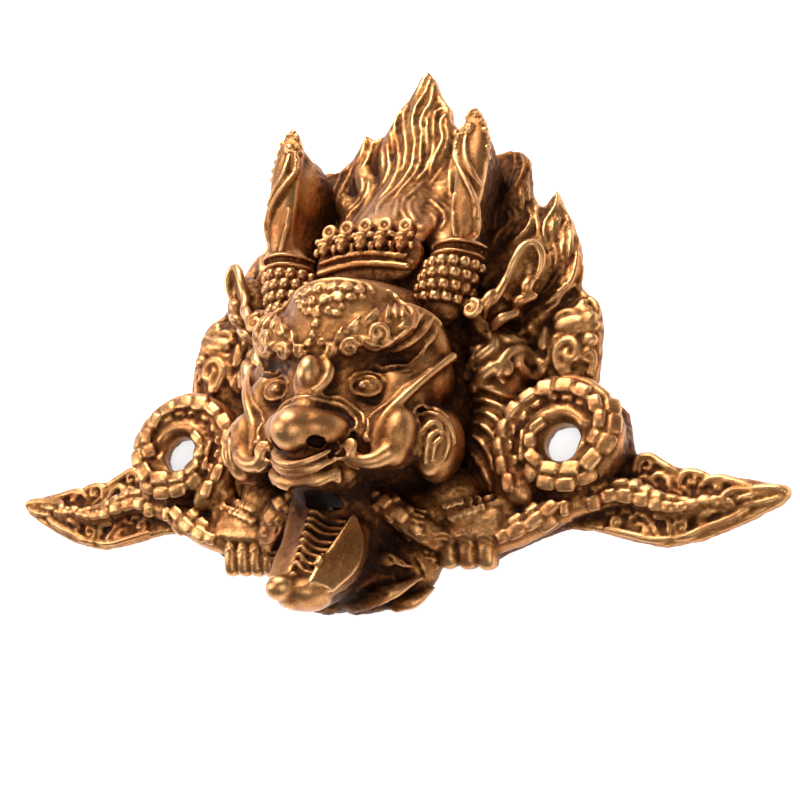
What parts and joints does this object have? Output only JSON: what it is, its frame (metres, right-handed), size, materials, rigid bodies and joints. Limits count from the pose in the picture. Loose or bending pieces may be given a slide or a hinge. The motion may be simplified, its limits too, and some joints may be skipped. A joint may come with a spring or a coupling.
{
  "type": "mask",
  "caption": "Hollow cast brass wall mask of a garuda: horned bird-of-prey face with open lower beak, diadem and flame hair, a coiled snake held at each side, open at the back.",
  "frame": {"origin": "middle of the bounding box on the wall side, which is the plane the casting lies on", "axes": "+Z out of the face, +Y from the beak to the tip of the flames, +X towards the tail on the right as one looks at the face"},
  "size_m": [0.3194, 0.2294, 0.0681],
  "materials": {
    "cast_brass": "cast brass with a brown patina in the hollows, rubbed to gold on the high parts"
  },
  "bodies": {
    "root": {"garuda_mask": "cast_brass"}
  },
  "joints": []
}
